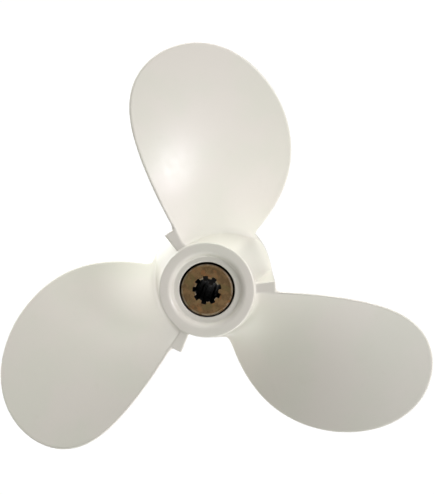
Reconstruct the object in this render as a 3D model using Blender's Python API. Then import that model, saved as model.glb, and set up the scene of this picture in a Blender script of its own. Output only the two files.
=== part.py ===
"""Three-blade propeller for a small outboard motor, cast in aluminium on a rubber-mounted bush.

Sizes are in millimetres and angles in degrees; the meshes are in metres. The origin lies on the
shaft axis at the hub's front face, +Z points astern along the shaft, and the first blade's
reference line stands along +Y. Blade angles are counted clockwise as seen from astern, so the
leading edge has the larger angle and the propeller is right-handed.
"""

import math

import bmesh
import bpy

MM = 0.001
TOUCHING_GAP = 0.3

# The propeller as it is sold: 7 1/2 inches across, 7 inches of pitch, three blades
DIAMETER = 190.5
PITCH = 177.8
BLADE_COUNT = 3
RAKE = 0.05
FACE_HEIGHT = 45.8
ROOT_RADIUS = 26.0

# Hub casting: the barrel widens a little going aft, and narrows between the blades to a ring
BARREL_FRONT_RADIUS = 25.3
BARREL_AFTER_RADIUS = 26.5
HUB_LENGTH = 60.0
NARROWING_START = 20.0
NARROWING_RADIUS = 26.1
NARROWING_POWER = 0.6
RING_RADIUS = 18.4
RING_ROUNDING = 0.5
ROOT_TOP = 59.0
FRONT_ROUNDING = 0.8
ROOT_ROUNDING = 0.3
COUNTERBORE_RADIUS = 15.5
COUNTERBORE_DEPTH = 2.0
LIP_RADIUS = 2.4
LIP_STEPS = 6
NECK_RADIUS = 10.6
NECK_BOTTOM = 50.0
BORE_RADIUS = 17.0
BORE_LEAD_IN = 0.8
HUB_SEGMENTS = 72

# Root blocks: the full barrel stands under each blade, and a pocket is open over its face
WALL_ANGLE = -37.5
POCKET_START_ANGLE = -32.5
POCKET_OUTER_RADIUS = 40.0
POCKET_TOP = 66.0
POCKET_LOWEST = 12.0
POCKET_FILLET = 5.0
POCKET_LEAST_FILLET = 0.6
POCKET_FILLET_POINTS = 5
POCKET_WALL_POINTS = 9
POCKET_WALL_SPREAD = 1.6

# Blade outline over x = 1 - radius / tip radius: half the chord's angle, and its middle
HALF_CHORD_TERMS = (53.2, -8.1, -6.4, -3.0)
TIP_SKEW = -2.6
SKEW_RISE = 10.6
SKEW_SPAN = 0.388
SKEW_POWER = 1.74

# Blade section
EDGE_THICKNESS = 1.1
TIP_THICKNESS = 2.0
ROOT_THICKNESS = 7.0
THICKNESS_POWER = 1.2
SECTION_STEPS = 12
OUTER_STATIONS = 13
OUTER_START_RADIUS = 31.0

# Root fillet between the blade's back and the barrel
FILLET_STATIONS = (23.0, 25.2, 25.9, 26.5, 27.3, 28.3, 29.5)
FILLET_START = 25.2
FILLET_RADIUS = 4.2
LEADING_FILLET_SHARE = 0.6
TRAILING_FILLET_SHARE = 0.35
WALL_MARGIN = 1.0
ROOT_SINK = 0.6
POCKET_CLEARANCE = 0.15

# Bush and damper
BUSH_RADIUS = 10.05
BUSH_BOTTOM = 0.5
BUSH_TOP = 58.3
BUSH_CHAMFER = 0.4
SPLINE_SLOTS = 9
SPLINE_PHASE = 95.5
SLOT_BOTTOM_RADIUS = 5.6
SLOT_WIDTH = 1.9
TOOTH_RADIUS = 4.5
SPLINE_CHAMFER = 0.25
DAMPER_BOTTOM = 4.0
DAMPER_DISH = 1.2

TIP_RADIUS = DIAMETER / 2

PAINT = {"color": (0.760, 0.735, 0.665, 1.0), "roughness": 0.35, "metallic": 0.0}
RUBBER = {"color": (0.020, 0.020, 0.020, 1.0), "roughness": 0.80, "metallic": 0.0}
BRONZE = {"color": (0.230, 0.130, 0.055, 1.0), "roughness": 0.45, "metallic": 1.0}


def clear_scene():
    for obj in list(bpy.data.objects):
        bpy.data.objects.remove(obj, do_unlink=True)


def make_material(name, look):
    material = bpy.data.materials.new(name)
    material.use_nodes = True
    shader = material.node_tree.nodes["Principled BSDF"]
    shader.inputs["Base Color"].default_value = look["color"]
    shader.inputs["Roughness"].default_value = look["roughness"]
    shader.inputs["Metallic"].default_value = look["metallic"]
    material.diffuse_color = look["color"]
    return material


def polar(radius, angle, height):
    """A point in metres, its angle in degrees clockwise from +Y as seen from astern."""
    turn = math.radians(angle)
    return (radius * math.sin(turn) * MM, radius * math.cos(turn) * MM, height * MM)


def loft(rings, closed=False):
    """Extrude a ring of points through the given rings, and cap or close its ends."""
    bm = bmesh.new()
    first = [bm.verts.new(point) for point in rings[0]]
    current = first
    count = len(first)
    for i in range(count):
        bm.edges.new((first[i], first[(i + 1) % count]))
    for ring in rings[1:]:
        edges = [bm.edges.get((current[i], current[(i + 1) % count])) for i in range(count)]
        grown = bmesh.ops.extrude_edge_only(bm, edges=edges)["geom"]
        fresh = {item for item in grown if isinstance(item, bmesh.types.BMVert)}
        following = []
        for vert, point in zip(current, ring):
            partner = next(
                edge.other_vert(vert) for edge in vert.link_edges if edge.other_vert(vert) in fresh
            )
            partner.co = point
            following.append(partner)
        current = following
    if closed:
        for i in range(count):
            j = (i + 1) % count
            bm.faces.new((current[i], current[j], first[j], first[i]))
    else:
        bm.faces.new(first)
        bm.faces.new(current)
    bmesh.ops.remove_doubles(bm, verts=bm.verts, dist=0.000001)
    bmesh.ops.recalc_face_normals(bm, faces=bm.faces)
    return bm


def revolve(profile, segments):
    """Spin a closed profile of (radius, height) points about the shaft axis."""
    bm = bmesh.new()
    verts = [bm.verts.new(polar(radius, 0.0, height)) for radius, height in profile]
    edges = [bm.edges.new((verts[i], verts[(i + 1) % len(verts)])) for i in range(len(verts))]
    bmesh.ops.spin(
        bm, geom=verts + edges, cent=(0, 0, 0), axis=(0, 0, 1),
        angle=2 * math.pi, steps=segments, use_merge=True,
    )
    bmesh.ops.remove_doubles(bm, verts=bm.verts, dist=0.000001)
    bmesh.ops.recalc_face_normals(bm, faces=bm.faces)
    return bm


def add_object(name, bm, material):
    mesh = bpy.data.meshes.new(name)
    bm.to_mesh(mesh)
    bm.free()
    obj = bpy.data.objects.new(name, mesh)
    bpy.context.scene.collection.objects.link(obj)
    mesh.materials.append(material)
    mesh.shade_smooth()
    mesh.set_sharp_from_angle(angle=math.radians(35))
    return obj


def arc(center, radius, start, end, steps):
    """Points of an arc in the (radius, height) plane, angles in degrees from the outward line."""
    points = []
    for i in range(steps + 1):
        angle = math.radians(start + (end - start) * i / steps)
        points.append((center[0] + radius * math.cos(angle), center[1] + radius * math.sin(angle)))
    return points


def pocket_radius(height):
    """Radius of the hub between the blades: it flares into the barrel's side going forward."""
    along = max(height - NARROWING_START, 0.0) / (HUB_LENGTH - NARROWING_START)
    return NARROWING_RADIUS - (NARROWING_RADIUS - RING_RADIUS) * along ** NARROWING_POWER


def face_height(radius, angle):
    """Height of the blades' after face, a helicoid that falls away clockwise."""
    return FACE_HEIGHT - PITCH * angle / 360 + RAKE * (radius - ROOT_RADIUS)


def counterbore():
    """The after recess: a round lip that rolls from the ring down to the flat floor."""
    end = 90 + math.degrees(math.acos(1 - COUNTERBORE_DEPTH / LIP_RADIUS))
    return arc((COUNTERBORE_RADIUS, HUB_LENGTH - LIP_RADIUS), LIP_RADIUS, 90, end, LIP_STEPS)


def hub_profile():
    """Barrel, after ring, counterbore, neck and damper bore, up the outside and down the inside."""
    f = FRONT_ROUNDING
    e = ROOT_ROUNDING
    ring_edge = RING_RADIUS - RING_ROUNDING
    floor = HUB_LENGTH - COUNTERBORE_DEPTH
    profile = arc((BARREL_FRONT_RADIUS - f, f), f, -90, 0, 3)
    profile += arc((BARREL_AFTER_RADIUS - e, ROOT_TOP - e), e, 0, 90, 2)
    profile += arc((ring_edge, HUB_LENGTH - RING_ROUNDING), RING_ROUNDING, 45, 90, 2)
    profile += counterbore()
    profile += [(NECK_RADIUS, floor), (NECK_RADIUS, NECK_BOTTOM)]
    profile += [(BORE_RADIUS, NECK_BOTTOM), (BORE_RADIUS, BORE_LEAD_IN)]
    profile += [(BORE_RADIUS + BORE_LEAD_IN, 0.0)]
    return profile


def pocket_section(angle):
    """The open space over the root block at one angle: blade face, fillet, hub side, then air."""
    floor = max(face_height(ROOT_RADIUS, angle) - POCKET_CLEARANCE, POCKET_LOWEST)
    corner = (pocket_radius(floor), floor)
    fillet = min(max(ROOT_RADIUS - corner[0], POCKET_LEAST_FILLET), POCKET_FILLET)
    outer = (corner[0] + fillet, floor)
    upper = (pocket_radius(floor + fillet), floor + fillet)
    top = max(POCKET_TOP, upper[1] + 1.0)
    section = [(POCKET_OUTER_RADIUS, floor)]
    for i in range(POCKET_FILLET_POINTS):
        t = i / POCKET_FILLET_POINTS
        section.append(tuple(
            outer[k] * (1 - t) ** 2 + corner[k] * 2 * t * (1 - t) + upper[k] * t ** 2
            for k in range(2)
        ))
    for i in range(POCKET_WALL_POINTS):
        share = (i / POCKET_WALL_POINTS) ** POCKET_WALL_SPREAD
        height = max(NARROWING_START + (HUB_LENGTH - NARROWING_START) * share, upper[1])
        section.append((pocket_radius(height), height))
    section += [(pocket_radius(top), top), (POCKET_OUTER_RADIUS, top)]
    return section


def pocket_mesh(turn):
    """One pocket, from the blade's trailing edge round to the next root block's wall."""
    end = 360 / BLADE_COUNT + WALL_ANGLE
    step = 360 / HUB_SEGMENTS
    rings = []
    for i in range(round((end - POCKET_START_ANGLE) / step) + 1):
        angle = POCKET_START_ANGLE + step * i
        rings.append([polar(radius, angle + turn, height) for radius, height in pocket_section(angle)])
    return loft(rings)


def half_chord(x):
    """Half of the chord's angle at x = 1 - radius / tip radius."""
    return math.sqrt(x) * sum(term * x ** power for power, term in enumerate(HALF_CHORD_TERMS))


def chord_middle(x):
    return TIP_SKEW + SKEW_RISE * (1 - math.exp(-((x / SKEW_SPAN) ** SKEW_POWER)))


def root_fillet(radius):
    """How far the fillet widens the section at this radius."""
    t = min(max((radius - FILLET_START) / FILLET_RADIUS, 0.0), 1.0)
    return FILLET_RADIUS * (1 - math.sqrt(1 - (1 - t) ** 2))


def highest_face(radius):
    """The trailing edge's limit, level with the root block at the barrel."""
    return ROOT_TOP - 0.1 + 0.17 * (radius - ROOT_RADIUS)


def section_thickness(x, along):
    share = min(x / (1 - OUTER_START_RADIUS / TIP_RADIUS), 1.0)
    thickest = TIP_THICKNESS + (ROOT_THICKNESS - TIP_THICKNESS) * share ** THICKNESS_POWER
    return EDGE_THICKNESS + (thickest - EDGE_THICKNESS) * 4 * along * (1 - along)


def blade_point(radius, angle, depth):
    """A point at a depth below the after face, measured square to the face."""
    lead = math.atan2(PITCH, 2 * math.pi * radius)
    height = face_height(radius, angle)
    if radius < OUTER_START_RADIUS:
        height = min(height, highest_face(radius))
    height -= ROOT_SINK * min(max(ROOT_RADIUS - radius, 0.0), 1.0)
    around = angle - math.degrees(depth * math.sin(lead) / radius)
    if radius < OUTER_START_RADIUS:
        around = max(around, WALL_ANGLE + WALL_MARGIN)
    return around, height - depth * math.cos(lead)


def blade_ring(radius, turn):
    """The closed section at one radius: leading edge, after face, trailing edge, back."""
    x = 1 - radius / TIP_RADIUS
    widen = root_fillet(radius)
    lead = math.atan2(PITCH, 2 * math.pi * radius)
    inset = math.degrees(EDGE_THICKNESS / 2 / radius)
    leading = chord_middle(x) + half_chord(x)
    leading += math.degrees(widen * LEADING_FILLET_SHARE / radius)
    trailing = chord_middle(x) - half_chord(x)
    trailing -= math.degrees(widen * TRAILING_FILLET_SHARE / radius)
    middle = (leading + trailing) / 2
    back_shift = math.degrees(EDGE_THICKNESS * math.sin(lead) / radius)
    face_leading = max(leading - inset, middle)
    face_trailing = min(trailing + inset + back_shift, middle)
    sheet = radius - EDGE_THICKNESS / 2 * (radius / TIP_RADIUS) ** 4

    def place(at_radius, angle, depth):
        around, height = blade_point(at_radius, angle, depth)
        return polar(at_radius, around + turn, height)

    face = []
    back = []
    for i in range(SECTION_STEPS + 1):
        along = i / SECTION_STEPS
        angle = face_leading + (face_trailing - face_leading) * along
        face.append(place(sheet, angle, 0.0))
        back.append(place(sheet, angle, section_thickness(x, along) + widen))
    front_edge = place(radius, leading, (EDGE_THICKNESS + widen) / 2)
    rear_edge = place(radius, trailing + back_shift / 2, (EDGE_THICKNESS + widen) / 2)
    return [front_edge] + face + [rear_edge] + back[::-1]


def blade_mesh(turn):
    """Sections from inside the barrel out to the tip, where they close to a point."""
    stations = list(FILLET_STATIONS)
    start = 1 - OUTER_START_RADIUS / TIP_RADIUS
    for i in range(OUTER_STATIONS + 1):
        x = start * (1 - i / OUTER_STATIONS) ** 2
        stations.append(TIP_RADIUS * (1 - x))
    return loft([blade_ring(radius, turn) for radius in stations])


def boolean(target, operand, operation):
    modifier = target.modifiers.new(operand.name, "BOOLEAN")
    modifier.operation = operation
    modifier.solver = "EXACT"
    modifier.object = operand
    operand.hide_render = True
    operand.display_type = "WIRE"


def make_casting():
    """Hub barrel, less the three pockets, joined with the three blades."""
    paint = make_material("white_paint", PAINT)
    casting = add_object("propeller_casting", revolve(hub_profile(), HUB_SEGMENTS), paint)
    for i in range(BLADE_COUNT):
        turn = -360 * i / BLADE_COUNT
        pocket = add_object(f"pocket_cutter_{i + 1}", pocket_mesh(turn), paint)
        boolean(casting, pocket, "DIFFERENCE")
    for i in range(BLADE_COUNT):
        turn = -360 * i / BLADE_COUNT
        blade = add_object(f"blade_form_{i + 1}", blade_mesh(turn), paint)
        boolean(casting, blade, "UNION")
    return casting


def make_damper():
    """Rubber ring bonded between the bush and the casting, its front end slightly dished."""
    inner = BUSH_RADIUS + TOUCHING_GAP
    outer = BORE_RADIUS - TOUCHING_GAP
    top = NECK_BOTTOM - TOUCHING_GAP
    middle = (inner + outer) / 2
    profile = [
        (inner, DAMPER_BOTTOM),
        (middle, DAMPER_BOTTOM + DAMPER_DISH),
        (outer, DAMPER_BOTTOM),
        (outer, top),
        (inner, top),
    ]
    return add_object("rubber_damper", revolve(profile, HUB_SEGMENTS), make_material("rubber", RUBBER))


def spline_points(grow):
    """The bore's outline: for each slot two corners and a middle, then the tooth beside it."""
    points = []
    half = SLOT_WIDTH / 2 + grow
    bottom = SLOT_BOTTOM_RADIUS + grow
    tooth = TOOTH_RADIUS + grow
    at_bottom = math.degrees(math.asin(half / bottom))
    at_tooth = math.degrees(math.asin(half / tooth))
    period = 360 / SPLINE_SLOTS
    for i in range(SPLINE_SLOTS):
        middle = 90 - SPLINE_PHASE + i * period
        points += [(bottom, middle - at_bottom), (bottom, middle), (bottom, middle + at_bottom)]
        points += [(tooth, middle + at_tooth), (tooth, middle + period / 2)]
        points += [(tooth, middle + period - at_tooth)]
    return points


def make_bush():
    """Bronze sleeve with a splined bore, chamfered at both ends."""
    bore = spline_points(0.0)
    mouth = spline_points(SPLINE_CHAMFER)
    count = len(bore)
    first = 90 - SPLINE_PHASE - 360 / SPLINE_SLOTS / 6

    def outside(radius, height):
        return [polar(radius, first + 360 * i / count, height) for i in range(count)]

    def inside(outline, height):
        return [polar(radius, angle, height) for radius, angle in outline]

    c = BUSH_CHAMFER
    s = SPLINE_CHAMFER
    rings = [
        outside(BUSH_RADIUS - c, BUSH_BOTTOM),
        outside(BUSH_RADIUS, BUSH_BOTTOM + c),
        outside(BUSH_RADIUS, BUSH_TOP - c),
        outside(BUSH_RADIUS - c, BUSH_TOP),
        inside(mouth, BUSH_TOP),
        inside(bore, BUSH_TOP - s),
        inside(bore, BUSH_BOTTOM + s),
        inside(mouth, BUSH_BOTTOM),
    ]
    return add_object("splined_bush", loft(rings, closed=True), make_material("bronze", BRONZE))


def main():
    clear_scene()
    make_casting()
    make_damper()
    make_bush()


main()
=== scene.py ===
"""A small outboard motor's three-blade propeller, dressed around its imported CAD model.

The casting is built here again from the same dimensions as the CAD solid, with many more points.
Its hub and blades are merged by a fine voxel remesh, and smoothed into one cast and painted skin.
Sizes are in millimetres and angles in degrees unless a name says otherwise; the meshes are in
metres. Blade angles are counted clockwise from +Y as seen from astern.
"""

import math

import bmesh
import bpy
import numpy as np
from mathutils import Matrix, Vector


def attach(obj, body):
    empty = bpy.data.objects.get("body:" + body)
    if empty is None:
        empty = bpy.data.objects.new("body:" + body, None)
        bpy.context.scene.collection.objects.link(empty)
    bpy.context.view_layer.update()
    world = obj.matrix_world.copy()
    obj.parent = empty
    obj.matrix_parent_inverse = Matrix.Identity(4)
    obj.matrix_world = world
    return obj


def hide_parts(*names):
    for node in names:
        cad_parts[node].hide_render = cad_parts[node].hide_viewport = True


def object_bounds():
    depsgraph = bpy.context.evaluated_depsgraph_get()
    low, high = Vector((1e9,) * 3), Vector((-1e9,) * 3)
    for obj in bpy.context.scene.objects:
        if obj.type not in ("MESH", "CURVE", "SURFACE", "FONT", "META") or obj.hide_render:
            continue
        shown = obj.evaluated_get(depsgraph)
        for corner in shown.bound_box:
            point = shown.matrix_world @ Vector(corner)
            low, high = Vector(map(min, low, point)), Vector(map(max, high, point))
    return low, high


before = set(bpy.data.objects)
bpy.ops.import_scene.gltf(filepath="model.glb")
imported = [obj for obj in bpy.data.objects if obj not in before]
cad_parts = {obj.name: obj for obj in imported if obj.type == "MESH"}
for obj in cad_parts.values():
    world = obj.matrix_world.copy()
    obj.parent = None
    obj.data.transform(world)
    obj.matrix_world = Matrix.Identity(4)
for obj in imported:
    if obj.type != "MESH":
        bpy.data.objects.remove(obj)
CAD_LOW, CAD_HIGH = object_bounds()

MM = 0.001

# Propeller
TIP_RADIUS = 95.25
PITCH = 177.8
BLADE_COUNT = 3
BLADE_TURN = 360 / BLADE_COUNT
RAKE = 0.05
FACE_HEIGHT = 45.8
ROOT_RADIUS = 26.0

# Hub
BARREL_FRONT_RADIUS = 25.3
BARREL_AFTER_RADIUS = 26.5
HUB_LENGTH = 60.0
NARROWING_START = 20.0
NARROWING_RADIUS = 26.1
NARROWING_POWER = 0.6
RING_RADIUS = 18.4
RING_ROUNDING = 0.4
ROOT_TOP = 59.0
FRONT_ROUNDING = 0.8
COUNTERBORE_RADIUS = 15.5
COUNTERBORE_FLOOR_RADIUS = 13.1
COUNTERBORE_DEPTH = 2.0
COUNTERBORE_FILLET = 0.5
NECK_RADIUS = 10.6
NECK_CHAMFER = 0.35
NECK_BOTTOM = 50.0
BORE_RADIUS = 17.0
BORE_LEAD_IN = 0.8
WALL_ANGLE = -37.5
LEDGE_DROP = 0.1
LEDGE_LOWEST = 12.0
HUB_ANGLE_STEP = 1.5
HUB_HEIGHT_STEPS = 30
LIP_ANGLE_STEP = 5
RING_CORNER_START = 10
CORNER_STEPS = 4
FRONT_CORNER_STEPS = 5
NECK_STEPS = 6
BORE_STEPS = 20
CORNER_CLEARANCE = 1.0

# Blade outline over x = 1 - radius / tip radius: half the chord's angle, and its middle
HALF_CHORD_TERMS = (53.2, -8.1, -6.4, -3.0)
TIP_SKEW = -2.6
SKEW_RISE = 10.6
SKEW_SPAN = 0.388
SKEW_POWER = 1.74

# Blade section and its fillets
EDGE_THICKNESS = 1.15
TIP_THICKNESS = 2.0
ROOT_THICKNESS = 7.0
THICKNESS_POWER = 1.2
THICKEST_RADIUS = 31.0
TIP_ROUNDING_POWER = 4
SECTION_STEPS = 90
EDGE_STEPS = 8
ROOT_STATION_STEP = 0.4
ROOT_STATION_START = 17.6
OUTER_STATIONS = 64
BACK_FILLET = 4.2
BACK_FILLET_START = 25.2
LEADING_FILLET_SHARE = 0.6
TRAILING_FILLET_SHARE = 0.35
FACE_FILLET = 3.0
FACE_FILLET_LEAST = 0.3
FACE_FILLET_FADE = 14.0
ROOT_TOP_DROP = 0.1
ROOT_TOP_SLOPE = 0.17
WALL_MARGIN = 1.0

# Casting skin
VOXEL = 0.35
SMOOTHING_ROUNDS = 10
SMOOTHING_IN = 0.5
SMOOTHING_OUT = -0.53
CASTING_TRIANGLES = 190000
BOX_MARGIN = 0.01

# Bush and damper
BUSH_RADIUS = 10.05
BUSH_BOTTOM = 0.5
BUSH_TOP = 58.3
BUSH_CHAMFER = 0.7
BUSH_BEVEL = 0.18
BUSH_BEVEL_STEPS = 3
BUSH_SAG = (-0.05, -0.2, 0.0)
BORE_FACE_MARGIN = 0.05
UPRIGHT_LIMIT = 0.2
SPLINE_SLOTS = 9
SPLINE_PHASE = 95.5
SLOT_BOTTOM_RADIUS = 5.6
SLOT_WIDTH = 1.9
TOOTH_RADIUS = 4.5
SPLINE_ARC_STEPS = 4
DAMPER_BOTTOM = 4.0
DAMPER_DISH = 1.2
DAMPER_DISH_STEPS = 12
DAMPER_SEGMENTS = 144
DAMPER_BEVEL = 0.4
DAMPER_BEVEL_STEPS = 2
BEVEL_LEAST_ANGLE = 30
GAP = 0.3

# Colours
PAINT_FRESH = (0.700, 0.691, 0.602)
PAINT_WARMER = (0.722, 0.693, 0.618)
PAINT_AGED = (0.655, 0.630, 0.538)
PAINT_SPECK = (0.42, 0.39, 0.31)
# Near-black painted shade for the neck gap and the damper bore
RECESS_SHADE = (0.012, 0.010, 0.008)
RUBBER_BLACK = (0.014, 0.014, 0.014)
RUBBER_DUST = (0.07, 0.065, 0.055)
BRONZE_DARK = (0.172, 0.106, 0.045)
BRONZE_LIGHT = (0.275, 0.171, 0.075)
BRONZE_OLIVE = (0.198, 0.150, 0.058)
BRONZE_ORANGE = (0.335, 0.154, 0.056)
BRONZE_PIT = (0.085, 0.052, 0.024)
# Lighter bronze for rubbed edges, partly a painted glint
BRONZE_RUBBED_AND_GLINT = (0.40, 0.345, 0.255)
# Near-black painted shade inside the spline bore
BORE_SHADE_BLACK = (0.004, 0.004, 0.005)
BORE_SHADE_GREASY = (0.010, 0.009, 0.008)
FLOOR_TONES = ((0.80, 0.80, 0.80), (0.82, 0.82, 0.82))
FLOOR_DARK = (0.02, 0.02, 0.02)
WHITE = (1, 1, 1, 1)

# Surfaces
PAINT_ROUGHNESS = (0.28, 0.33)
PAINT_WAVES = 0.03
PAINT_PEEL = 0.003
RUBBER_ROUGHNESS = (0.65, 0.9)
RUBBER_GRAIN = 0.03
BRONZE_METALLIC = 0.65
BRONZE_ROUGHNESS = (0.38, 0.58)
BRONZE_GRAIN = 0.02
TURNING_MARKS = 24.0
TURNING_DEPTH = 0.004
BORE_SPECULAR = 0.08
BORE_ROUGHNESS = (0.6, 0.8)
FLOOR_ROUGHNESS = 0.9

# Camera and light
CAMERA_PLACE = (0.0204, 0.0507, 0.4372)
CAMERA_TURN = (-0.0905, 0.0424, -0.0052)
CAMERA_LENS = 72.1
CAMERA_NEAR = 0.01
TENT_LIGHT = 0.145
TENT_PANELS = (
    (75.0, -12.0, 28.0, 3.9),
    (315.0, -5.0, 36.0, 3.0),
    (150.0, -30.0, 30.0, 4.3),
    (220.0, -22.0, 20.0, 3.1),
    (272.0, 42.0, 18.0, 2.8),
    (95.0, 14.0, 16.0, 3.9),
    (120.0, 16.0, 15.0, 0.9),
    (10.0, -5.0, 20.0, 1.5),
)  # azimuth, elevation, width, strength
SOFTBOX_AZIMUTH = 14.0
SOFTBOX_ELEVATION = 35.0
SOFTBOX_DISTANCE_METRES = 1.2
SOFTBOX_SIZE_METRES = 0.3
SOFTBOX_POWER = 4.4
SOFTBOX_COLOUR = (1.0, 0.95, 1.04)
BACKDROP_LIGHT = 0.56
FLOOR_SIZE_METRES = 30.0
FLOOR_DROP = 0.1
# The floor's painted pool of light, and its painted shade under the hub
FLOOR_LIT_POOL_RADIUS = 158.0
FLOOR_FADED_RADIUS = 300.0
UNDER_HUB_RADIUS = 22.3
UNDER_HUB_SHADE_GLOW = 0.006


def polar(radius, angle, height):
    """A point in metres, its angle in degrees clockwise from +Y as seen from astern."""
    turn = math.radians(angle)
    return (radius * math.sin(turn) * MM, radius * math.cos(turn) * MM, height * MM)


def lofted(rings, closed=False):
    """A mesh through rings of equal length, its ends capped or joined to each other."""
    count = len(rings[0])
    points = [point for ring in rings for point in ring]
    faces = []
    for i in range(len(rings) - 1 + closed):
        low = i * count
        high = (i + 1) % len(rings) * count
        for j in range(count):
            k = (j + 1) % count
            faces.append((low + j, low + k, high + k, high + j))
    if not closed:
        faces.append(tuple(range(count)))
        faces.append(tuple(range(len(points) - count, len(points))))
    bm = bmesh.new()
    verts = [bm.verts.new(point) for point in points]
    for face in faces:
        bm.faces.new([verts[i] for i in face])
    bmesh.ops.recalc_face_normals(bm, faces=bm.faces)
    return bm


def add_object(name, bm):
    """A smoothly shaded object in the scene, from this mesh under construction."""
    mesh = bpy.data.meshes.new(name)
    bm.to_mesh(mesh)
    bm.free()
    obj = bpy.data.objects.new(name, mesh)
    bpy.context.scene.collection.objects.link(obj)
    mesh.shade_smooth()
    return obj


def settle(obj):
    """Swap the object's mesh for the one that its modifiers make."""
    graph = bpy.context.evaluated_depsgraph_get()
    mesh = bpy.data.meshes.new_from_object(obj.evaluated_get(graph), depsgraph=graph)
    obj.modifiers.clear()
    obj.data = mesh
    mesh.name = obj.name


def arc(center, radius, start, end, steps):
    """Points on an arc in a profile's plane of radius and height."""
    points = []
    for i in range(steps + 1):
        angle = math.radians(start + (end - start) * i / steps)
        points.append((center[0] + radius * math.cos(angle), center[1] + radius * math.sin(angle)))
    return points


def between(start, end, steps):
    """Points from start on the way to end, without the end."""
    return [
        tuple(start[k] + (end[k] - start[k]) * i / steps for k in range(2)) for i in range(steps)
    ]


def pocket_radius(height):
    """Radius of the hub's side between the blades, drawn in towards the ring."""
    along = max(height - NARROWING_START, 0.0) / (HUB_LENGTH - NARROWING_START)
    return NARROWING_RADIUS - (NARROWING_RADIUS - RING_RADIUS) * along ** NARROWING_POWER


def barrel_radius(height):
    """Radius of the full barrel, which stands under the blades and at the front."""
    return BARREL_FRONT_RADIUS + (BARREL_AFTER_RADIUS - BARREL_FRONT_RADIUS) * height / HUB_LENGTH


def face_height(radius, angle):
    """Height of a blade's after face, a right-hand helicoid with a little rake."""
    return FACE_HEIGHT - PITCH * angle / 360 + RAKE * (radius - ROOT_RADIUS)


def inner_profile():
    """From the ring's edge down the counterbore, neck and damper bore to the hub's front."""
    fillet_size = COUNTERBORE_FILLET
    floor = HUB_LENGTH - COUNTERBORE_DEPTH
    lip = COUNTERBORE_RADIUS - COUNTERBORE_FLOOR_RADIUS
    ring_corner = (RING_RADIUS - RING_ROUNDING, HUB_LENGTH - RING_ROUNDING)
    points = arc(ring_corner, RING_ROUNDING, RING_CORNER_START, 90, CORNER_STEPS)
    for angle in range(0, 91, LIP_ANGLE_STEP):
        turn = math.radians(angle)
        height = HUB_LENGTH - lip * (1 - math.cos(turn))
        if height > floor + fillet_size:
            points.append((COUNTERBORE_RADIUS - lip * math.sin(turn), height))
    floor_corner = (points[-1][0] - fillet_size, floor + fillet_size)
    points += arc(floor_corner, fillet_size, 0, -90, CORNER_STEPS)
    neck_end = (NECK_RADIUS, NECK_BOTTOM)
    bore_end = (BORE_RADIUS, BORE_LEAD_IN)
    points += [(NECK_RADIUS + NECK_CHAMFER, floor), (NECK_RADIUS, floor - NECK_CHAMFER)]
    points += between((NECK_RADIUS, floor - CORNER_CLEARANCE), neck_end, NECK_STEPS)
    points += [neck_end, (BORE_RADIUS, NECK_BOTTOM)]
    points += between((BORE_RADIUS, NECK_BOTTOM - CORNER_CLEARANCE), bore_end, BORE_STEPS)
    points += [bore_end, (BORE_RADIUS + BORE_LEAD_IN, 0.0)]
    return points


def hub_section(angle):
    """The hub's outline at one angle past a root block's wall: barrel, ledge, then the side."""
    ledge = min(max(face_height(ROOT_RADIUS, angle) - LEDGE_DROP, LEDGE_LOWEST), ROOT_TOP)
    f = FRONT_ROUNDING
    section = arc((BARREL_FRONT_RADIUS - f, f), f, -90, 0, FRONT_CORNER_STEPS)
    for i in range(1, HUB_HEIGHT_STEPS + 1):
        height = f + (ledge - f) * i / HUB_HEIGHT_STEPS
        section.append((barrel_radius(height), height))
    top = HUB_LENGTH - RING_ROUNDING
    for i in range(HUB_HEIGHT_STEPS + 1):
        height = ledge + (top - ledge) * i / HUB_HEIGHT_STEPS
        section.append((min(pocket_radius(height), barrel_radius(height)), height))
    return section + inner_profile()


def hub_mesh():
    """Sections all round; at each root block two at one angle make its upright wall."""
    steps = round(BLADE_TURN / HUB_ANGLE_STEP)
    rings = []
    for blade in range(BLADE_COUNT):
        for i in range(steps + 1):
            angle = WALL_ANGLE + BLADE_TURN * i / steps
            turned = angle + BLADE_TURN * blade
            rings.append([polar(radius, turned, height) for radius, height in hub_section(angle)])
    return lofted(rings, closed=True)


def half_chord(x):
    """Half the blade's angle from edge to edge."""
    return math.sqrt(x) * sum(term * x ** power for power, term in enumerate(HALF_CHORD_TERMS))


def chord_middle(x):
    """Angle of the blade's middle between its edges."""
    return TIP_SKEW + SKEW_RISE * (1 - math.exp(-((x / SKEW_SPAN) ** SKEW_POWER)))


def fillet(distance, size):
    """Rise of a quarter round of this size at a distance from the corner."""
    t = min(max(distance / size, 0.0), 1.0)
    return size * (1 - math.sqrt(1 - (1 - t) ** 2))


def section_thickness(x, along):
    """Blade thickness at a share along the chord, most in the middle."""
    share = min(x / (1 - THICKEST_RADIUS / TIP_RADIUS), 1.0)
    thickest = TIP_THICKNESS + (ROOT_THICKNESS - TIP_THICKNESS) * share ** THICKNESS_POWER
    return EDGE_THICKNESS + (thickest - EDGE_THICKNESS) * 4 * along * (1 - along)


def face_rise(radius, angle, leading):
    """Rise of the after face's fillet, a quadratic curve that runs up into the hub's side.

    The curve leaves the face at size from the corner and ends at size above it, where the side
    has drawn in; it fades towards the leading edge.
    """
    floor = face_height(ROOT_RADIUS, angle)
    fade = min(max((leading - angle) / FACE_FILLET_FADE, 0.0), 1.0)
    size = FACE_FILLET_LEAST + (FACE_FILLET - FACE_FILLET_LEAST) * fade * fade * (3 - 2 * fade)
    out = radius - pocket_radius(floor)
    drawn_in = pocket_radius(floor) - pocket_radius(floor + size)
    if out >= size:
        return 0.0
    inside = size * size - (size - drawn_in) * (size - out)
    along = (size - math.sqrt(max(inside, 0.0))) / (size - drawn_in)
    return size * min(along, 1.0) ** 2


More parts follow.
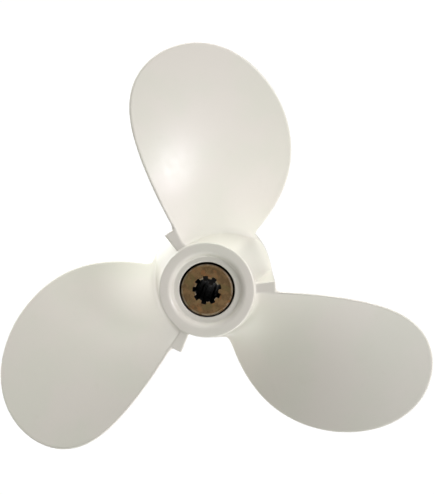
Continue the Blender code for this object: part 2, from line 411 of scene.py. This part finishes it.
def blade_point(radius, angle, depth, leading):
    """A point at a depth below the after face, measured square to the face."""
    lead = math.atan2(PITCH, 2 * math.pi * radius)
    height = face_height(radius, angle)
    around = angle - math.degrees(depth * math.sin(lead) / radius)
    if radius < THICKEST_RADIUS:
        height += face_rise(radius, angle, leading)
        top = ROOT_TOP - ROOT_TOP_DROP + ROOT_TOP_SLOPE * max(radius - ROOT_RADIUS, 0.0)
        height = min(height, top)
        around = max(around, WALL_ANGLE + WALL_MARGIN)
    return around, height - depth * math.cos(lead)


def blade_ring(radius, turn):
    """The closed section at one radius: round leading edge, face, round trailing edge, back."""
    x = 1 - radius / TIP_RADIUS
    lead = math.atan2(PITCH, 2 * math.pi * radius)
    degrees_per_mm = math.degrees(1 / radius)
    widen = fillet(radius - BACK_FILLET_START, BACK_FILLET)
    edge = EDGE_THICKNESS + widen
    leading = chord_middle(x) + half_chord(x) + widen * LEADING_FILLET_SHARE * degrees_per_mm
    trailing = chord_middle(x) - half_chord(x) - widen * TRAILING_FILLET_SHARE * degrees_per_mm
    trailing += EDGE_THICKNESS * math.sin(lead) * degrees_per_mm
    inset = min(EDGE_THICKNESS / 2 * degrees_per_mm, max(leading - trailing, 0.0) / 2)
    sheet = radius - EDGE_THICKNESS / 2 * (radius / TIP_RADIUS) ** TIP_ROUNDING_POWER

    def place(bulge, angle, depth):
        at_radius = sheet + (radius - sheet) * bulge
        around, height = blade_point(at_radius, angle, depth, leading)
        return polar(at_radius, around + turn, height)

    ring = []
    for i in range(EDGE_STEPS + 1):
        phase = math.pi * (1 - i / EDGE_STEPS)
        bulge = math.sin(phase)
        ring.append(place(bulge, leading - inset * (1 - bulge), edge * (1 - math.cos(phase)) / 2))
    first = leading - inset
    last = max(trailing + inset, trailing)
    for i in range(1, SECTION_STEPS):
        ring.append(place(0.0, first + (last - first) * i / SECTION_STEPS, 0.0))
    for i in range(EDGE_STEPS + 1):
        phase = math.pi * i / EDGE_STEPS
        bulge = math.sin(phase)
        ring.append(place(bulge, trailing + inset * (1 - bulge), edge * (1 - math.cos(phase)) / 2))
    for i in range(1, SECTION_STEPS):
        along = i / SECTION_STEPS
        depth = section_thickness(x, along) + widen
        ring.append(place(0.0, last + (first - last) * along, depth))
    return ring


def blade_mesh(turn):
    """Sections from inside the hub out to the tip."""
    stations = np.arange(ROOT_STATION_START, THICKEST_RADIUS, ROOT_STATION_STEP).tolist()
    start = 1 - THICKEST_RADIUS / TIP_RADIUS
    for i in range(OUTER_STATIONS + 1):
        stations.append(TIP_RADIUS * (1 - start * (1 - i / OUTER_STATIONS) ** 2))
    return lofted([blade_ring(radius, turn) for radius in stations])


def smooth_skin(mesh):
    """Even out the voxels' steps: each round averages in, then pushes back out."""
    count = len(mesh.vertices)
    points = np.empty(count * 3)
    mesh.vertices.foreach_get("co", points)
    points = points.reshape(-1, 3)
    ends = np.empty(len(mesh.edges) * 2, dtype=np.int32)
    mesh.edges.foreach_get("vertices", ends)
    start, end = ends.reshape(-1, 2).T
    near = np.bincount(start, minlength=count) + np.bincount(end, minlength=count)
    for i in range(SMOOTHING_ROUNDS * 2):
        share = SMOOTHING_OUT if i % 2 else SMOOTHING_IN
        for k in range(3):
            axis = points[:, k]
            total = np.bincount(start, weights=axis[end], minlength=count)
            total += np.bincount(end, weights=axis[start], minlength=count)
            points[:, k] = axis + share * (total / near - axis)
    mesh.vertices.foreach_set("co", points.ravel())
    mesh.update()


def keep_inside(mesh):
    """Pull in the few points that the remesh leaves a hair outside the CAD model's box."""
    count = len(mesh.vertices)
    points = np.empty(count * 3)
    mesh.vertices.foreach_get("co", points)
    low = np.array(CAD_LOW) + BOX_MARGIN * MM
    high = np.array(CAD_HIGH) - BOX_MARGIN * MM
    points = np.clip(points.reshape(-1, 3), low, high)
    mesh.vertices.foreach_set("co", points.ravel())
    mesh.update()


def make_casting():
    """Hub and blades merged into one skin."""
    merged = bmesh.new()
    for part in [hub_mesh()] + [blade_mesh(BLADE_TURN * i) for i in range(BLADE_COUNT)]:
        mesh = bpy.data.meshes.new("form")
        part.to_mesh(mesh)
        part.free()
        merged.from_mesh(mesh)
        bpy.data.meshes.remove(mesh)
    casting = add_object("casting_skin", merged)
    remesh = casting.modifiers.new("Merge", "REMESH")
    remesh.mode = "VOXEL"
    remesh.voxel_size = VOXEL * MM
    settle(casting)
    smooth_skin(casting.data)
    keep_inside(casting.data)
    triangles = sum(len(face.vertices) - 2 for face in casting.data.polygons)
    thin = casting.modifiers.new("Thin", "DECIMATE")
    thin.ratio = min(CASTING_TRIANGLES / triangles, 1.0)
    settle(casting)
    casting.data.shade_smooth()
    return casting


def revolve(profile, segments):
    """A closed profile turned about the shaft axis."""
    rings = []
    for i in range(segments):
        angle = 360 * i / segments
        rings.append([polar(radius, angle, height) for radius, height in profile])
    return lofted(rings, closed=True)


def bevel(obj, width, segments):
    """Round the object's sharp edges by a width in millimetres."""
    cut = obj.modifiers.new("Edges", "BEVEL")
    cut.width = width * MM
    cut.segments = segments
    cut.limit_method = "ANGLE"
    cut.angle_limit = math.radians(BEVEL_LEAST_ANGLE)
    cut.harden_normals = True
    settle(obj)


def make_damper():
    """The rubber ring between casting and bush, its front end dished."""
    inner = BUSH_RADIUS + GAP
    outer = BORE_RADIUS - GAP
    top = NECK_BOTTOM - GAP
    profile = []
    for i in range(DAMPER_DISH_STEPS + 1):
        along = i / DAMPER_DISH_STEPS
        rise = DAMPER_DISH * math.sin(math.pi * along)
        profile.append((inner + (outer - inner) * along, DAMPER_BOTTOM + rise))
    profile += [(outer, (DAMPER_BOTTOM + top) / 2), (outer, top), (inner, top)]
    profile += [(inner, (DAMPER_BOTTOM + top) / 2)]
    damper = add_object("damper_ring", revolve(profile, DAMPER_SEGMENTS))
    bevel(damper, DAMPER_BEVEL, DAMPER_BEVEL_STEPS)
    return damper


def spline_outline():
    """The bore's outline: a slot's floor, its side, the tooth's top, and the next side."""
    half = SLOT_WIDTH / 2
    at_floor = math.degrees(math.asin(half / SLOT_BOTTOM_RADIUS))
    at_tooth = math.degrees(math.asin(half / TOOTH_RADIUS))
    period = 360 / SPLINE_SLOTS
    tooth = period - 2 * at_tooth
    steps = SPLINE_ARC_STEPS
    points = []
    for slot in range(SPLINE_SLOTS):
        middle = 90 - SPLINE_PHASE + slot * period
        for i in range(steps + 1):
            points.append((SLOT_BOTTOM_RADIUS, middle - at_floor + 2 * at_floor * i / steps))
        for i in range(steps + 1):
            points.append((TOOTH_RADIUS, middle + at_tooth + tooth * i / steps))
    return points


def make_bush():
    """The bronze sleeve, which sits a hair off centre in its rubber."""
    outline = spline_outline()
    count = len(outline)
    first = outline[0][1]

    def outside(radius, height):
        return [polar(radius, first + 360 * i / count, height) for i in range(count)]

    def inside(height):
        return [polar(radius, angle, height) for radius, angle in outline]

    rings = [
        outside(BUSH_RADIUS - BUSH_CHAMFER, BUSH_BOTTOM),
        outside(BUSH_RADIUS, BUSH_BOTTOM + BUSH_CHAMFER),
        outside(BUSH_RADIUS, BUSH_TOP - BUSH_CHAMFER),
        outside(BUSH_RADIUS - BUSH_CHAMFER, BUSH_TOP),
        inside(BUSH_TOP),
        inside(BUSH_BOTTOM),
    ]
    bush = add_object("bush_sleeve", lofted(rings, closed=True))
    bush.data.transform(Matrix.Translation(Vector(BUSH_SAG) * MM))
    bevel(bush, BUSH_BEVEL, BUSH_BEVEL_STEPS)
    return bush


class Nodes:
    """Short calls for building a material's node tree."""

    def __init__(self, name):
        self.material = bpy.data.materials.new(name)
        self.material.use_nodes = True
        self.tree = self.material.node_tree
        self.shader = self.tree.nodes["Principled BSDF"]

    def add(self, kind, **settings):
        node = self.tree.nodes.new(kind)
        for key, value in settings.items():
            setattr(node, key, value)
        return node

    def link(self, source, target):
        self.tree.links.new(source, target)

    def math(self, operation, a, b=0.0):
        """Work with numbers or with other nodes' outputs."""
        node = self.add("ShaderNodeMath", operation=operation)
        for socket, value in zip(node.inputs, (a, b)):
            if isinstance(value, (int, float)):
                socket.default_value = value
            else:
                self.link(value, socket)
        return node.outputs[0]

    def place(self):
        """The point on the surface, in the object's own coordinates in metres."""
        return self.add("ShaderNodeTexCoord").outputs["Object"]

    def noise(self, size, detail=3.0, roughness=0.5, distortion=0.0):
        """Noise whose features are about size millimetres across."""
        node = self.add("ShaderNodeTexNoise")
        node.inputs["Scale"].default_value = 1000 / size
        node.inputs["Detail"].default_value = detail
        node.inputs["Roughness"].default_value = roughness
        node.inputs["Distortion"].default_value = distortion
        self.link(self.place(), node.inputs["Vector"])
        return node.outputs["Fac"]

    def ramp(self, value, low, high, start=0.0, end=1.0):
        """Map value from low..high to start..end, smoothly and within those ends."""
        node = self.add("ShaderNodeMapRange", interpolation_type="SMOOTHSTEP")
        self.link(value, node.inputs["Value"])
        limits = {"From Min": low, "From Max": high, "To Min": start, "To Max": end}
        for name, number in limits.items():
            node.inputs[name].default_value = number
        return node.outputs["Result"]

    def patches(self, size, low, high, most=1.0, detail=3.0, roughness=0.5, distortion=0.0):
        """A share up to most, in patches where noise of this size passes from low to high."""
        noise = self.noise(size, detail, roughness, distortion)
        return self.ramp(noise, low, high, 0.0, most)

    def uneven(self, size, least, most, detail=3.0):
        """A value that wanders between least and most over about size millimetres."""
        return self.ramp(self.noise(size, detail), 0.3, 0.7, least, most)

    def mix(self, share, first, second):
        """Mix two colours, each given as a colour or as another node's output."""
        node = self.add("ShaderNodeMix", data_type="RGBA")
        self.link(share, node.inputs["Factor"])
        for socket, value in zip((node.inputs[6], node.inputs[7]), (first, second)):
            if isinstance(value, tuple):
                socket.default_value = (*value, 1.0)
            else:
                self.link(value, socket)
        return node.outputs[2]

    def axis_distance(self):
        """Distance from the shaft axis, in millimetres."""
        split = self.add("ShaderNodeSeparateXYZ")
        self.link(self.place(), split.inputs[0])
        squares = self.math(
            "ADD",
            self.math("MULTIPLY", split.outputs[0], split.outputs[0]),
            self.math("MULTIPLY", split.outputs[1], split.outputs[1]),
        )
        return self.math("MULTIPLY", self.math("SQRT", squares), 1000.0)

    def height(self):
        """Height over the hub's front face, in millimetres."""
        split = self.add("ShaderNodeSeparateXYZ")
        self.link(self.place(), split.inputs[0])
        return self.math("MULTIPLY", split.outputs[2], 1000.0)

    def bump(self, height, distance, strength=1.0, normal=None):
        """Bump of this distance in millimetres."""
        node = self.add("ShaderNodeBump")
        node.inputs["Strength"].default_value = strength
        node.inputs["Distance"].default_value = distance * MM
        self.link(height, node.inputs["Height"])
        if normal is not None:
            self.link(normal, node.inputs["Normal"])
        return node.outputs["Normal"]


def paint_material():
    """Satin warm white paint: faint orange peel, a little yellowing, painted shade in the neck and
    bore.
    """
    n = Nodes("warm_white_paint")
    fresh = n.mix(n.patches(28.0, 0.38, 0.62), PAINT_FRESH, PAINT_WARMER)
    yellowed = n.patches(6.0, 0.60, 0.78, most=0.25, detail=5.0, roughness=0.6)
    aged = n.mix(yellowed, fresh, PAINT_AGED)
    speckled = n.mix(n.patches(0.9, 0.72, 0.78, most=0.15, detail=2.0), aged, PAINT_SPECK)
    radius = n.axis_distance()
    height = n.height()
    # Near-black painted shade in the narrow neck gap and the damper bore, standing in for the shade
    # of these deep recesses
    in_neck = n.math(
        "MULTIPLY",
        n.ramp(radius, NECK_RADIUS + 0.12, NECK_RADIUS + 0.22, 1.0, 0.0),
        n.ramp(height, NECK_BOTTOM - 1.0, NECK_BOTTOM - 0.5),
    )
    in_bore = n.math(
        "MULTIPLY",
        n.ramp(radius, BORE_RADIUS + 0.2, BORE_RADIUS + 0.5, 1.0, 0.0),
        n.ramp(height, NECK_BOTTOM + 0.5, NECK_BOTTOM + 1.0, 1.0, 0.0),
    )
    shaded_recesses = n.mix(n.math("MAXIMUM", in_neck, in_bore), speckled, RECESS_SHADE)
    n.link(shaded_recesses, n.shader.inputs["Base Color"])
    n.link(n.uneven(3.0, *PAINT_ROUGHNESS, detail=4.0), n.shader.inputs["Roughness"])
    wavy = n.bump(n.noise(14.0, detail=1.0), PAINT_WAVES, strength=0.4)
    peel = n.bump(n.noise(1.1, detail=2.0), PAINT_PEEL, strength=0.5, normal=wavy)
    n.link(peel, n.shader.inputs["Normal"])
    return n.material


def rubber_material():
    """Matt black moulded rubber, a little dusty."""
    n = Nodes("moulded_rubber")
    dusty = n.mix(n.patches(4.0, 0.45, 0.75, most=0.5, detail=5.0), RUBBER_BLACK, RUBBER_DUST)
    n.link(dusty, n.shader.inputs["Base Color"])
    n.link(n.uneven(2.0, *RUBBER_ROUGHNESS), n.shader.inputs["Roughness"])
    n.link(n.bump(n.noise(0.5), RUBBER_GRAIN, strength=0.6), n.shader.inputs["Normal"])
    return n.material


def bronze_material():
    """Oxidised bronze: warmer and greener patches, pits, turning marks, lighter rubbed edges with
    painted glints.
    """
    n = Nodes("oxidised_bronze")
    lighter = n.patches(2.4, 0.38, 0.62, detail=6.0, roughness=0.65)
    greener = n.patches(4.5, 0.50, 0.62, most=0.7, detail=4.0, roughness=0.6, distortion=0.6)
    warmer = n.patches(3.1, 0.54, 0.66, most=0.7, detail=4.0, roughness=0.6, distortion=0.8)
    brown = n.mix(lighter, BRONZE_DARK, BRONZE_LIGHT)
    stained = n.mix(warmer, n.mix(greener, brown, BRONZE_OLIVE), BRONZE_ORANGE)
    pitted = n.mix(n.patches(0.8, 0.60, 0.74, most=0.6), stained, BRONZE_PIT)
    radius = n.axis_distance()
    # Tooth tips and the face's rim are lighter in patches: partly rubbed metal, partly painted
    # glints
    tips = n.ramp(radius, TOOTH_RADIUS + 0.25, TOOTH_RADIUS + 0.6, 0.7, 0.0)
    face_radius = BUSH_RADIUS - BUSH_CHAMFER
    rim = n.ramp(radius, face_radius - 0.1, face_radius + 0.2, 0.0, 0.6)
    rubbed_and_glint = n.math("MULTIPLY", n.math("MAXIMUM", tips, rim), n.patches(1.6, 0.35, 0.60))
    n.link(n.mix(rubbed_and_glint, pitted, BRONZE_RUBBED_AND_GLINT), n.shader.inputs["Base Color"])
    n.shader.inputs["Metallic"].default_value = BRONZE_METALLIC
    n.link(n.uneven(2.2, *BRONZE_ROUGHNESS, detail=5.0), n.shader.inputs["Roughness"])
    turned = n.math("SINE", n.math("MULTIPLY", radius, TURNING_MARKS))
    marks = n.bump(turned, TURNING_DEPTH, strength=0.4)
    grain = n.bump(n.noise(0.6, detail=4.0), BRONZE_GRAIN, strength=0.5, normal=marks)
    n.link(grain, n.shader.inputs["Normal"])
    return n.material


def bore_shade_material():
    """Near-black painted shade for the splines deep in the bore, greasy in patches, giving almost
    nothing back.
    """
    n = Nodes("bore_painted_shade")
    greasy_shade = n.mix(n.noise(1.5, detail=4.0), BORE_SHADE_BLACK, BORE_SHADE_GREASY)
    n.link(greasy_shade, n.shader.inputs["Base Color"])
    n.shader.inputs["Specular IOR Level"].default_value = BORE_SPECULAR
    n.link(n.uneven(2.0, *BORE_ROUGHNESS), n.shader.inputs["Roughness"])
    return n.material


def floor_material():
    """Studio floor: glows white as a painted pool of light round the propeller, pale grey further
    out, painted shade under the hub.
    """
    n = Nodes("studio_floor")
    tone = n.mix(n.noise(40.0), *FLOOR_TONES)
    distance = n.axis_distance()
    # Inside the pool the floor is black and glows white, a painted pool of light that fades to grey
    # further out
    outside = n.ramp(distance, FLOOR_LIT_POOL_RADIUS, FLOOR_FADED_RADIUS)
    n.link(n.mix(outside, FLOOR_DARK, tone), n.shader.inputs["Base Color"])
    n.shader.inputs["Roughness"].default_value = FLOOR_ROUGHNESS
    n.shader.inputs["Emission Color"].default_value = WHITE
    # Under the hub the glow all but stops: painted shade, seen through the bore
    past_hub_shade = n.ramp(distance, UNDER_HUB_RADIUS, BARREL_FRONT_RADIUS, UNDER_HUB_SHADE_GLOW, 1.0)
    inside = n.ramp(distance, FLOOR_LIT_POOL_RADIUS, FLOOR_FADED_RADIUS, 1.0, 0.0)
    n.link(n.math("MULTIPLY", past_hub_shade, inside), n.shader.inputs["Emission Strength"])
    return n.material


def make_floor():
    """A wide floor just below the hub, which gives no light to the propeller."""
    bm = bmesh.new()
    bmesh.ops.create_grid(bm, x_segments=8, y_segments=8, size=FLOOR_SIZE_METRES)
    floor = add_object("studio_floor", bm)
    floor.location.z = -FLOOR_DROP * MM
    floor.data.materials.append(floor_material())
    floor.visible_diffuse = False
    floor.visible_glossy = False
    floor.visible_shadow = False


def direction(azimuth, elevation):
    """A unit vector, its azimuth in degrees from +X towards +Y."""
    around = math.radians(azimuth)
    above = math.radians(elevation)
    level = math.cos(above)
    return Vector((level * math.cos(around), level * math.sin(around), math.sin(above)))


def add_softbox():
    """A small softbox, whose gloss shows on the first blade."""
    light = bpy.data.lights.new("softbox", "AREA")
    light.shape = "DISK"
    light.size = SOFTBOX_SIZE_METRES
    light.energy = SOFTBOX_POWER
    light.color = SOFTBOX_COLOUR
    softbox = bpy.data.objects.new("softbox", light)
    bpy.context.scene.collection.objects.link(softbox)
    way = direction(SOFTBOX_AZIMUTH, SOFTBOX_ELEVATION)
    softbox.location = Vector((0, 0, HUB_LENGTH / 2 * MM)) + way * SOFTBOX_DISTANCE_METRES
    softbox.rotation_euler = way.to_track_quat("Z", "Y").to_euler()


def light_scene():
    """A white tent: faint even light and brighter soft panels, and a plain backdrop to look at."""
    world = bpy.data.worlds.new("tent")
    world.use_nodes = True
    bpy.context.scene.world = world
    tree = world.node_tree
    place = tree.nodes.new("ShaderNodeTexCoord").outputs["Generated"]

    def calculate(operation, a, b):
        node = tree.nodes.new("ShaderNodeMath")
        node.operation = operation
        for socket, value in zip(node.inputs, (a, b)):
            if isinstance(value, float):
                socket.default_value = value
            else:
                tree.links.new(value, socket)
        return node.outputs[0]

    total = TENT_LIGHT
    for azimuth, elevation, width, strength in TENT_PANELS:
        facing = tree.nodes.new("ShaderNodeVectorMath")
        facing.operation = "DOT_PRODUCT"
        tree.links.new(place, facing.inputs[0])
        facing.inputs[1].default_value = direction(azimuth, elevation)
        away = calculate("ARCCOSINE", facing.outputs["Value"], 0.0)
        share = calculate("DIVIDE", away, math.radians(width))
        fall = calculate("POWER", math.exp(-1), calculate("MULTIPLY", share, share))
        total = calculate("ADD", total, calculate("MULTIPLY", fall, strength))
    seen = tree.nodes.new("ShaderNodeLightPath").outputs["Is Camera Ray"]
    unseen = calculate("MULTIPLY", total, calculate("SUBTRACT", 1.0, seen))
    total = calculate("ADD", unseen, calculate("MULTIPLY", seen, BACKDROP_LIGHT))
    tree.links.new(total, tree.nodes["Background"].inputs["Strength"])
    tree.nodes["Background"].inputs["Color"].default_value = WHITE
    add_softbox()


def add_camera():
    """The camera at the photo's place and angle."""
    data = bpy.data.cameras.new("camera")
    data.lens = CAMERA_LENS
    data.clip_start = CAMERA_NEAR
    camera = bpy.data.objects.new("camera", data)
    camera.location = CAMERA_PLACE
    camera.rotation_euler = CAMERA_TURN
    bpy.context.scene.collection.objects.link(camera)
    bpy.context.scene.camera = camera


def paint_bore_shade(bush, material):
    """Give the faces inside the splines their own near-black painted shade material."""
    bush.data.materials.append(material)
    middle = Vector(BUSH_SAG[:2]) * MM
    limit = (SLOT_BOTTOM_RADIUS + BORE_FACE_MARGIN) * MM
    for face in bush.data.polygons:
        upright = abs(face.normal.z) < UPRIGHT_LIMIT
        if upright and (face.center.xy - middle).length < limit:
            face.material_index = 1


def dress(obj, material, node):
    """Paint a piece and let it stand for its node of the CAD model."""
    obj.data.materials.clear()
    obj.data.materials.append(material)
    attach(obj, "root")
    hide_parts(node)


bpy.context.scene.view_settings.view_transform = "Standard"
add_camera()
light_scene()
make_floor()
dress(make_casting(), paint_material(), "propeller_casting")
dress(make_damper(), rubber_material(), "rubber_damper")
bush = make_bush()
dress(bush, bronze_material(), "splined_bush")
paint_bore_shade(bush, bore_shade_material())
